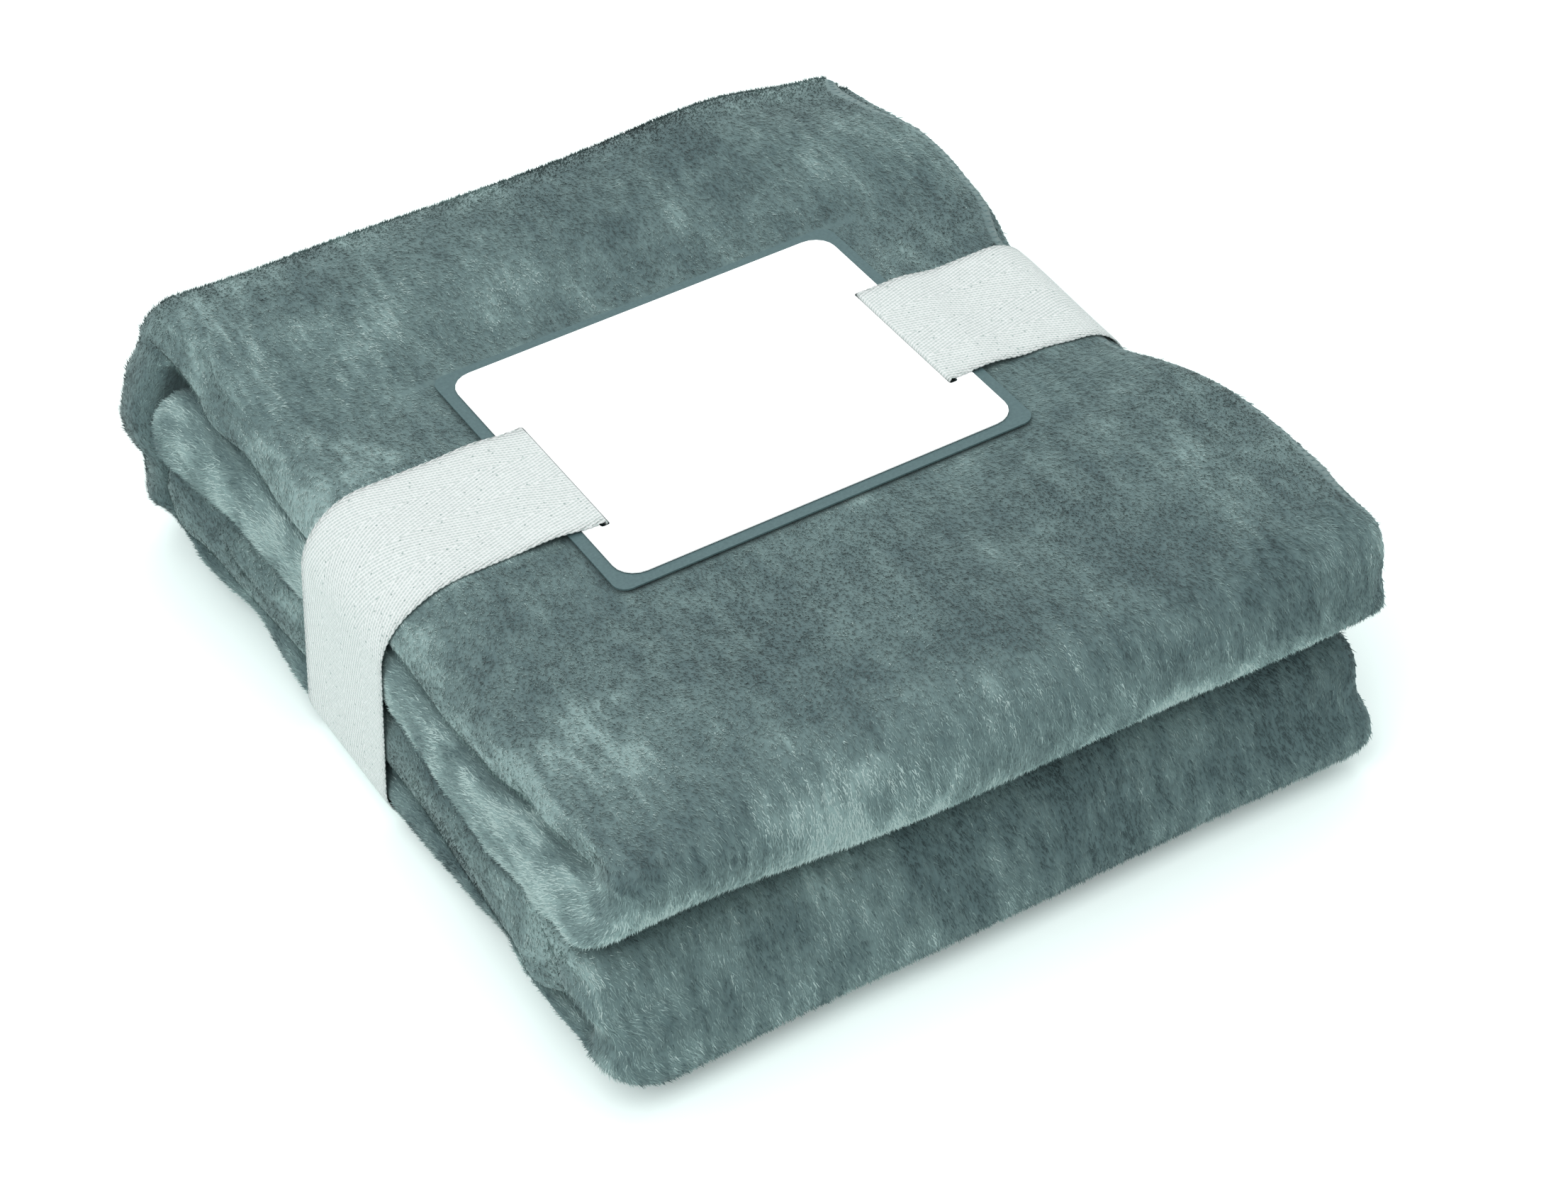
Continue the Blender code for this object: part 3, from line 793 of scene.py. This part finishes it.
class THROW_OT_blanket(bpy.types.Operator):
    """The folded cloth: one sheet, four layers across and four runs high"""

    bl_idname = "throw.blanket"
    bl_label = "Blanket"

    def execute(self, context):
        cloth = context.scene.throw_cloth
        grid, across, way, line_count = cloth_grid()
        points, faces, place, layout = cloth_shell(grid, across, way, line_count)
        piece = new_piece("folded_blanket", points, faces, [plush_material(cloth)], place, layout)
        shade = piece.data.attributes.new("pile_tone_and_painted_light", "FLOAT", "POINT")
        normals = grid_normals(grid).reshape(-1, 3)
        shade.data.foreach_set("value", pile_tone_and_painted_light(points, normals).astype(np.float32))
        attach(piece, "blanket")
        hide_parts("blanket")
        return {"FINISHED"}


def shown_cells(grid, way, line_count):
    """Which cells of the cloth's grid show: the outermost layer, and the folds and hems at the sides."""
    ideal = section_loop()[0]
    wide = np.arange(grid.shape[1]) <= OUTER_COLUMNS
    edge = np.abs(ideal[:, 0]) > HALF_WIDTH - 1.9 * LAYER
    last = way[-1]
    inner = (way[:-1] < INNER_RUN) | (way[:-1] > last - INNER_RUN)
    shown = np.where(inner[:, None], edge[None], (wide | edge)[None])
    for rim in (line_count, 2 * line_count + 2):
        shown[:, rim] = False
    return shown


def room_above(points):
    """How high a tuft may stand at each point: almost flat under the band, low where the card can slide.

    A tuft leans towards the noses, so both zones reach a tuft's length further behind.
    """
    x, y, z = points.T
    reach = 0.0036
    straight = y - skew(x)
    band = (straight > TAPE_LOW[1] - 0.0008) & (straight < TAPE_HIGH[1] + reach)
    card = (np.abs(x - CARD_X) < CARD_REACH + reach / 2) & (z > 0.080)
    card &= (y > BOARD_LOW[1] - 0.0008) & (y < BOARD_HIGH[1] + reach)
    return np.where(band, 0.00020, np.where(card, 0.0010, 1.0))


def lay_tufts(grid, cells, count, pile, seed):
    """Tufts on the chosen cells, spread evenly by area: each a thin triangle that leans along the nap.

    Under the band and the card they lie flat on the cloth.
    """
    rng = np.random.default_rng(seed)
    after = np.roll(grid, -1, axis=1)
    a, b, c, d = grid[:-1], after[:-1], after[1:], grid[1:]
    face = np.cross(c - a, d - b) * grid_turn(grid)
    area = np.linalg.norm(face, axis=-1) / 2
    chance = (area * cells).ravel()
    pick = rng.choice(chance.size, size=count, p=chance / chance.sum())
    row, column = np.divmod(pick, cells.shape[1])
    s, t = rng.random((2, count, 1))
    root = ((a[row, column] * (1 - s) + b[row, column] * s) * (1 - t)
            + (d[row, column] * (1 - s) + c[row, column] * s) * t)
    normal = face[row, column] / (2 * area[row, column][:, None] + 1e-12)
    nap = (a - d)[row, column]
    nap = unit(nap - normal * (nap * normal).sum(-1, keepdims=True))
    side = np.cross(normal, nap)
    size = pile.tuft_length * rng.uniform(0.6, 1.25, (count, 1))
    room = room_above(root)[:, None]
    lean = np.minimum(room / size, pile.lean * rng.uniform(0.6, 1.4, (count, 1)))
    swing = rng.normal(0, 0.26, (count, 1)) + 0.9 * (cloud(root, 0.034, 51)[:, None] - 0.5)
    forward = nap * np.cos(swing) + side * np.sin(swing)
    way = forward * np.cos(lean) + normal * np.sin(lean)
    broad = np.cross(normal, forward)
    half = pile.tuft_width / 2 * rng.uniform(0.6, 1.3, (count, 1))
    base = root + normal * np.where(room < FLAT_ROOM, 0.00003, -0.0003)
    corners = np.stack([base - broad * half, base + broad * half, base + way * size], 1)
    return root, normal, corners


def clear_of_band_and_card(root, corners):
    """Keeps the tufts that stay out of the band, the card and the floor, and those that lie flat."""
    margin = 0.0006
    x, y, z = np.moveaxis(corners, -1, 0)

    def between(value, low, high):
        return (value.max(axis=1) > low - margin) & (value.min(axis=1) < high + margin)

    band = between(y - skew(x), TAPE_LOW[1], TAPE_HIGH[1])
    card = between(y, BOARD_LOW[1], BOARD_HIGH[1]) & (np.abs(x - CARD_X).min(axis=1) < CARD_REACH + margin)
    card &= z.max(axis=1) > BOARD_LOW[2] - 0.0002
    return ((room_above(root) < FLAT_ROOM) | ~(band | card)) & (z.min(axis=1) > TOUCH)


class THROW_OT_pile(bpy.types.Operator):
    """The pile: tufts over every part of the cloth that shows"""

    bl_idname = "throw.pile"
    bl_label = "Pile"

    def execute(self, context):
        cloth, pile = context.scene.throw_cloth, context.scene.throw_pile
        grid, _, way, line_count = cloth_grid()
        cells = shown_cells(grid, way, line_count)
        root, normal, corners = lay_tufts(grid, cells, pile.tufts, pile, 7)
        keep = clear_of_band_and_card(root, corners)
        root, normal, corners = root[keep], normal[keep], corners[keep]
        rng = np.random.default_rng(8)
        # each tuft's tone, painted sheen and painted shade included, picks its material
        shade = pile_tone_and_painted_light(root, normal) + rng.normal(0, 0.125, len(root)) + 0.04
        tones = [cloth.deep, cloth.dark, mixed(cloth.dark, cloth.middle), cloth.middle,
                 mixed(cloth.middle, cloth.light), cloth.light, cloth.bright]
        slot = np.digitize(shade, [0.16, 0.32, 0.44, 0.56, 0.70, 0.88])
        names = ["deep", "dark", "soft_dark", "middle", "soft_light", "light", "bright"]
        materials = [tuft_material("tuft_" + name, tone) for name, tone in zip(names, tones)]
        ahead = root[:, 1] < -0.125
        behind = root[:, 1] > 0.140
        flat = normal[:, 2] > 0.55
        between = ~ahead & ~behind
        near_card = root[:, 1] < 0.010
        below = normal[:, 2] < -0.55
        near = root[:, 0] < 0
        places = {"pile_front": ahead, "pile_back": behind,
                  "pile_top_front": between & flat & near_card, "pile_top_back": between & flat & ~near_card,
                  "pile_below": between & below, "pile_near_side": between & ~flat & ~below & near,
                  "pile_far_side": between & ~flat & ~below & ~near}
        for name, chosen in places.items():
            tufts = corners[chosen]
            faces = np.arange(3 * len(tufts)).reshape(-1, 3)
            piece = new_piece(name, tufts.reshape(-1, 3), faces, materials, slots=slot[chosen], smooth=False)
            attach(piece, "blanket")
        return {"FINISHED"}


def mixed(a, b, share=0.5):
    """A colour between two others."""
    return tuple(x + (y - x) * share for x, y in zip(a, b))


def turned_line(points):
    """Normals to the left of an open line in two dimensions, lengthened at its corners to keep the width."""
    step = unit(np.diff(points, axis=0))
    before = np.concatenate([step[:1], step])
    after = np.concatenate([step, step[-1:]])
    middle = unit(before + after)
    return np.stack([-middle[:, 1], middle[:, 0]], -1) / (middle * before).sum(-1)[:, None]


def resampled(points, step):
    """The same line with points at an even step, close enough for the selvedge's loops."""
    way = distance_along(points)
    count = max(2, int(way[-1] / step))
    at = np.linspace(0, way[-1], count + 1)
    return np.stack([np.interp(at, way, points[:, n]) for n in range(points.shape[1])], -1), at


def shoulder_line(outward, far=0.0):
    """The middle of the tape up one side of the pack, from the floor over the shoulder, as X and Z."""
    turn = np.radians(np.linspace(0, 90, 25))
    base = CLOTH_LOW[2] + BASE_SHOULDER * (1 - np.cos(turn))
    rise = np.linspace(base[-1], SOFT_TOP - TOP_SHOULDER, 40)[1:-1]
    top = SOFT_TOP - TOP_SHOULDER * (1 - np.sin(turn))
    z = np.concatenate([base, rise, top])
    line = np.stack([side_of_pack(z, far), z], -1)
    return line - turned_line(line) * outward


def card_line(tape, slot_x):
    """The tape at the card's +X end, inwards: over the edge, along the face, into the slot and below."""
    half = tape.thickness / 2
    over, under = FACE_HIGH[2] + TOUCH + half, SOFT_TOP + TOUCH + half
    bend = 0.0009
    edge = BOARD_HIGH[0] - CARD_X + 4 * TOUCH
    climb = smooth_step(np.linspace(0, 1, 12), 0, 1)
    ramp = np.stack([edge + CARD_RAMP * (1 - np.linspace(0, 1, 12)), under + (over - under) * climb], -1)
    inner = slot_x - 0.0010  # close to the slot's inner side
    down, _ = arc_of((inner + bend, over - bend), bend, 90, 180, 5)
    inward, _ = arc_of((inner - bend, under + bend), bend, 0, -90, 5)
    centre = np.array([[0.0, under]])
    return np.concatenate([ramp, down, inward, centre])


def tape_piece(name, line, tape, material):
    """A length of tape along a line in X and Z, with two faces, looped selvedges and closed ends."""
    line, way = resampled(line, tape.scallop_pitch / 5)
    normal = turned_line(line)
    width = TAPE_HIGH[1] - TAPE_LOW[1]
    share = np.linspace(0, 1, 15)
    loops = tape.scallop * np.abs(np.sin(np.pi * way / tape.scallop_pitch))
    y = TAPE_LOW[1] + share[None] * width + loops[:, None] * np.where(share > 0.99, 1, 0)
    y -= loops[:, None] * np.where(share < 0.01, 1, 0)
    faces_of_tape = []
    for level in (tape.thickness / 2, -tape.thickness / 2):
        thin = 1 - 0.35 * (np.abs(share - 0.5) > 0.49)
        x = line[:, :1] + normal[:, :1] * level * thin
        z = line[:, 1:] + normal[:, 1:] * level * thin
        faces_of_tape.append(np.stack([x, y, z], -1))
    loop = np.concatenate([faces_of_tape[0], faces_of_tape[1][:, ::-1]], axis=1)
    loop[..., 1] += skew(loop[..., 0])
    loop[..., 2] -= tape_tilt(loop[..., 0], loop[..., 1], loop[..., 2])
    j, last = np.arange(len(share) - 1), loop.shape[1] - 1
    cap = np.stack([j, j + 1, last - 1 - j, last - j], -1)
    across = np.concatenate([share, share[::-1]]) * width
    points, faces, place, layout = tube_shell(loop, across, way, cap)
    piece = new_piece(name, points, faces, [material], place, layout)
    return piece


def tape_tilt(x, y, z):
    """The band's tilt over its shoulders, which fades out down the sides."""
    return band_tilt(x, y) * smooth_step(height_share(z), 0.55, 1.0)


class THROW_OT_band(bpy.types.Operator):
    """The cotton tape round the pack and through the card's slots, with its sewn lap"""

    bl_idname = "throw.band"
    bl_label = "Band"

    def execute(self, context):
        tape, card = context.scene.throw_tape, context.scene.throw_card
        cotton = twill_material(tape)
        seat = TOUCH + tape.thickness / 2
        slot_x = (FACE_HIGH[0] - FACE_LOW[0]) / 2 - card.slot_inset
        shoulder, far_shoulder = shoulder_line(seat), shoulder_line(seat, 1.0)
        over = card_line(tape, slot_x)
        under_z = TAPE_LOW[2] + tape.thickness / 2
        foot = np.array([[LOWER_JOIN, under_z]])
        upper = np.concatenate([far_shoulder, over + (CARD_X, 0)])
        left = np.concatenate([foot, shoulder, over - (CARD_X, 0)]) * (-1, 1)
        piece = tape_piece("tape_left", left, tape, cotton)
        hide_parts("cotton_tape")
        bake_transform(piece)
        # the outer lap ends on the +X side, and the inner lap runs on below the pack
        outer = upper[upper[:, 1] > LAP_BOTTOM]
        end = np.array([[float(side_of_pack(LAP_BOTTOM, 1.0)) + seat, LAP_BOTTOM]])
        piece = tape_piece("tape_right", np.concatenate([end, outer]), tape, cotton)
        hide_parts("cotton_tape")
        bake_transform(piece)
        side = far_shoulder[far_shoulder[:, 1] < LAP_TOP]
        tucked = side - (1, 0) * (smooth_step(side[:, 1:], 0.016, LAP_BOTTOM) * (tape.thickness + TOUCH))
        below = np.concatenate([tucked[::-1], foot, foot * (-1, 1)])
        piece = tape_piece("tape_below", below, tape, cotton)
        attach(piece, "band")
        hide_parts("cotton_tape")
        return {"FINISHED"}


def stitch_mesh(name, centres, along, out, size, material):
    """Short stitches: each a six-sided spindle with pointed ends, laid along its seam.

    Three rings of six points: the ends are drawn in and sunk, and the middle stands out from the cloth.
    """
    turn = np.radians(np.arange(6) * 60)
    side = np.cross(along, out)
    half, thick = size[0] / 2, size[1] / 2
    rings = []
    for place, girth, lift in ((-1, 0.35, -0.6), (-0.45, 1.0, 0.35), (0.45, 1.0, 0.35), (1, 0.35, -0.6)):
        centre = centres + along * half * place + out * thick * lift
        spread = side[:, None] * np.cos(turn)[None, :, None] + out[:, None] * np.sin(turn)[None, :, None]
        rings.append(centre[:, None] + spread * thick * girth)
    points = np.stack(rings, 1).reshape(-1, 3)
    ends = np.array([[0, 5, 4, 3], [0, 3, 2, 1], [18, 19, 20, 21], [18, 21, 22, 23]])
    one = np.concatenate([grid_faces(4, 6, closed_columns=True), ends])
    faces = (one[None] + 24 * np.arange(len(centres))[:, None, None]).reshape(-1, 4)
    (faces,) = outwards(points, faces)
    piece = new_piece(name, points, faces, [material])
    return piece


class THROW_OT_seam(bpy.types.Operator):
    """The stitches that hold the tape's lap"""

    bl_idname = "throw.seam"
    bl_label = "Tape seam"

    def execute(self, context):
        low, high = SEAM_LOW, SEAM_HIGH
        lean = math.atan2(BASE_HALF - TOP_HALF, SOFT_TOP - CLOTH_LOW[2])
        up = np.array([-math.sin(lean), 0, math.cos(lean)])
        out = np.array([math.cos(lean), 0, math.sin(lean)])
        rows = []
        pitch = 0.0026
        y = np.arange(low[1] + pitch, high[1], pitch)
        z = np.arange(low[2] + pitch / 2, high[2], pitch)
        for height in (low[2] + 0.0004, high[2] - 0.0004):
            rows.append((np.stack([y, np.full_like(y, height)], -1), np.array([0.0, 1.0, 0.0])))
        for place in (low[1] + 0.0004, high[1] - 0.0004):
            rows.append((np.stack([np.full_like(z, place), z], -1), up))
        centres, along = [], []
        for spots, way in rows:
            x = side_of_pack(spots[:, 1], 1.0) + 2 * TOUCH + 0.0008
            centres.append(np.stack([x, spots[:, 0], spots[:, 1]], -1))
            along.append(np.tile(way, (len(spots), 1)))
        centres, along = np.concatenate(centres), np.concatenate(along)
        thread = grain_material("seam_thread", srgb("d7e0dd"), srgb("f4f7f6"), 0.0006, 0.7, 0.0001)
        outs = np.tile(out, (len(centres), 1))
        piece = stitch_mesh("tape_seam", centres, along, outs, (0.0022, 0.0006), thread)
        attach(piece, "band")
        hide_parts("tape_seam_stitches")
        return {"FINISHED"}


class THROW_OT_hem(bpy.types.Operator):
    """The overlock stitches round the cloth's cut edges, and the care label"""

    bl_idname = "throw.hem"
    bl_label = "Hem and label"

    def execute(self, context):
        cloth = context.scene.throw_cloth
        grid, _, _, line_count = cloth_grid()
        shaded = mixed(cloth.thread, cloth.dark)
        thread = grain_material("hem_thread", shaded, cloth.thread, 0.0006, 0.8, 0.0001)
        columns = ((2 * line_count + 2, 2 * line_count + 3), (line_count, line_count + 1))
        centres, along, outs = [], [], []
        pitch = 0.0034
        for first, second in columns:
            middle = (grid[:, first] + grid[:, second]) / 2
            thick = grid[:, first] - grid[:, second]
            line, _ = resampled(np.concatenate([middle, thick], axis=1), pitch)
            spot, leaning = line[:, :3], unit(line[:, 3:])
            step = unit(np.gradient(spot, axis=0))
            out = np.cross(step, leaning)
            out *= np.sign(out[:, :1] + 1e-9)
            slanted = unit(leaning + 0.45 * step)
            centres.append(spot - out * 0.0001)
            along.append(slanted)
            outs.append(np.cross(slanted, np.cross(out, slanted)))
        centres, along, outs = (np.concatenate(part) for part in (centres, along, outs))
        clear = (centres[:, 1] < TAPE_LOW[1] - 0.001) | (centres[:, 1] > TAPE_HIGH[1] + 0.001)
        piece = stitch_mesh("hem_overlock", centres[clear], along[clear], outs[clear], (0.0044, 0.0006),
                            thread)
        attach(piece, "blanket")
        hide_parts("hem_stitching")
        label = self.label()
        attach(label, "blanket")
        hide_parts("care_label")
        return {"FINISHED"}

    def label(self):
        """A blank satin tab that hangs from a hem: it leans with the side and curls out at its free end."""
        s, t = np.meshgrid(np.linspace(0, 1, 17), np.linspace(0, 1, 25), indexing="ij")
        y = LABEL_LOW[1] + s * (LABEL_HIGH[1] - LABEL_LOW[1])
        z = LABEL_HIGH[2] + t * (LABEL_LOW[2] - LABEL_HIGH[2])
        cloth_points = cloth_grid()[0].reshape(-1, 3)
        beside = (cloth_points[:, 1] > LABEL_LOW[1]) & (cloth_points[:, 1] < LABEL_HIGH[1])
        crest = cloth_points[beside, 0].max() + 0.0022
        curl = 0.0016 * t**2 + 0.0006 * np.sin(2.4 * np.pi * s) * t
        x = crest + curl - 0.0090 * (1 - smooth_step(t, 0, 0.22))
        points = np.stack([x, y, z], -1).reshape(-1, 3)
        faces = grid_faces(17, 25)
        white = grain_material("label_satin", srgb("e4e9e7"), srgb("f6f8f7"), 0.0004, 0.35, 0.00005)
        piece = new_piece("care_tab", points, faces, [white])
        wall = piece.modifiers.new("thickness", "SOLIDIFY")
        wall.thickness = 0.0003
        wall.offset = 0
        return piece


class THROW_OT_card(bpy.types.Operator):
    """The card's board and white face"""

    bl_idname = "throw.card"
    bl_label = "Card"

    def execute(self, context):
        card = context.scene.throw_card
        fibre, shaded = mixed(card.paper, (0.9, 0.92, 0.92)), mixed(card.board, card.board_edge, 0.35)
        paper = grain_material("card_paper", fibre, card.paper, 0.0008, 0.55, 0.00003)
        board = grain_material("card_grey", shaded, card.board, 0.0012, 0.5, 0.00004)
        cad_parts["card_face"].material_slots[0].material = paper
        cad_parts["card_board"].material_slots[0].material = board
        return {"FINISHED"}


class THROW_OT_stage(bpy.types.Operator):
    """The pale floor, the studio lights and the camera"""

    bl_idname = "throw.stage"
    bl_label = "Stage"

    def execute(self, context):
        scene, stage = context.scene, context.scene.throw_stage
        size = 6.0
        corners = np.array([[-size, -size, 0], [size, -size, 0], [size, size, 0], [-size, size, 0]])
        floor_paint = grain_material("paper_floor", stage.floor, stage.floor, 0.05, 0.9, 0.0)
        glow = floor_paint.node_tree.nodes["Principled BSDF"].inputs
        glow["Emission Color"].default_value = (*stage.floor, 1)
        glow["Emission Strength"].default_value = 0.14
        floor = new_piece("floor", corners, np.array([[0, 1, 2, 3]]), [floor_paint])
        world = bpy.data.worlds.new("studio")
        world.use_nodes = True
        world.node_tree.nodes["Background"].inputs[0].default_value = (*srgb("f1f5f5"), 1)
        world.node_tree.nodes["Background"].inputs[1].default_value = 1.0
        scene.world = world
        self.lamp("key", (-0.9, -0.7, 1.5), 1.3, 15.6)
        self.lamp("top", (0.3, 0.5, 1.8), 1.6, 11.6)
        self.camera(scene, stage)
        scene.view_settings.view_transform = "Standard"
        return {"FINISHED"}

    def lamp(self, name, place, size, power):
        """A square soft box that points at the pack."""
        data = bpy.data.lights.new(name, "AREA")
        data.size, data.energy = size, power
        lamp = bpy.data.objects.new(name, data)
        lamp.location = place
        lamp.rotation_euler = (-Vector(place)).to_track_quat("-Z", "Y").to_euler()
        bpy.context.scene.collection.objects.link(lamp)

    def camera(self, scene, stage):
        """A camera turned, tilted and rolled round a point in the middle of the pack."""
        az, el, roll = stage.azimuth, stage.elevation, stage.roll
        ahead = Vector((math.sin(az) * math.cos(el), math.cos(az) * math.cos(el), -math.sin(el)))
        level = Vector((math.cos(az), -math.sin(az), 0))
        up = level.cross(ahead)
        right = level * math.cos(roll) + up * math.sin(roll)
        up = right.cross(ahead)
        target = Vector((0.0284, 0.0214, -0.0133)) - right * 0.0018 + up * 0.0033
        data = bpy.data.cameras.new("camera")
        data.lens, data.sensor_width = stage.lens, 36
        camera = bpy.data.objects.new("camera", data)
        turn = Matrix((right, up, -ahead)).transposed().to_4x4()
        camera.matrix_world = Matrix.Translation(target - ahead * stage.distance) @ turn
        scene.collection.objects.link(camera)
        scene.camera = camera


STEPS = (THROW_OT_blanket, THROW_OT_pile, THROW_OT_band, THROW_OT_seam, THROW_OT_hem, THROW_OT_card,
         THROW_OT_stage)


class THROW_PT_panel(bpy.types.Panel):
    """Lists the pieces in the order in which they are made"""

    bl_label = "Folded throw"
    bl_idname = "THROW_PT_panel"
    bl_space_type = "VIEW_3D"
    bl_region_type = "UI"
    bl_category = "Throw"

    def draw(self, context):
        """One button for each step."""
        for step in STEPS:
            self.layout.operator(step.bl_idname)


CLASSES = (*GROUPS.values(), *STEPS, THROW_PT_panel)


def register():
    """Makes the operators, the panel and the settings known to Blender."""
    for one in CLASSES:
        bpy.utils.register_class(one)
    for name, group in GROUPS.items():
        setattr(bpy.types.Scene, name, PointerProperty(type=group))


def unregister():
    """Takes them out again."""
    for name in GROUPS:
        delattr(bpy.types.Scene, name)
    for one in reversed(CLASSES):
        bpy.utils.unregister_class(one)


def main():
    """Builds every piece and the stage."""
    register()
    for step in STEPS:
        kind, name = step.bl_idname.split(".")
        getattr(getattr(bpy.ops, kind), name)()


if __name__ == "__main__":
    main()
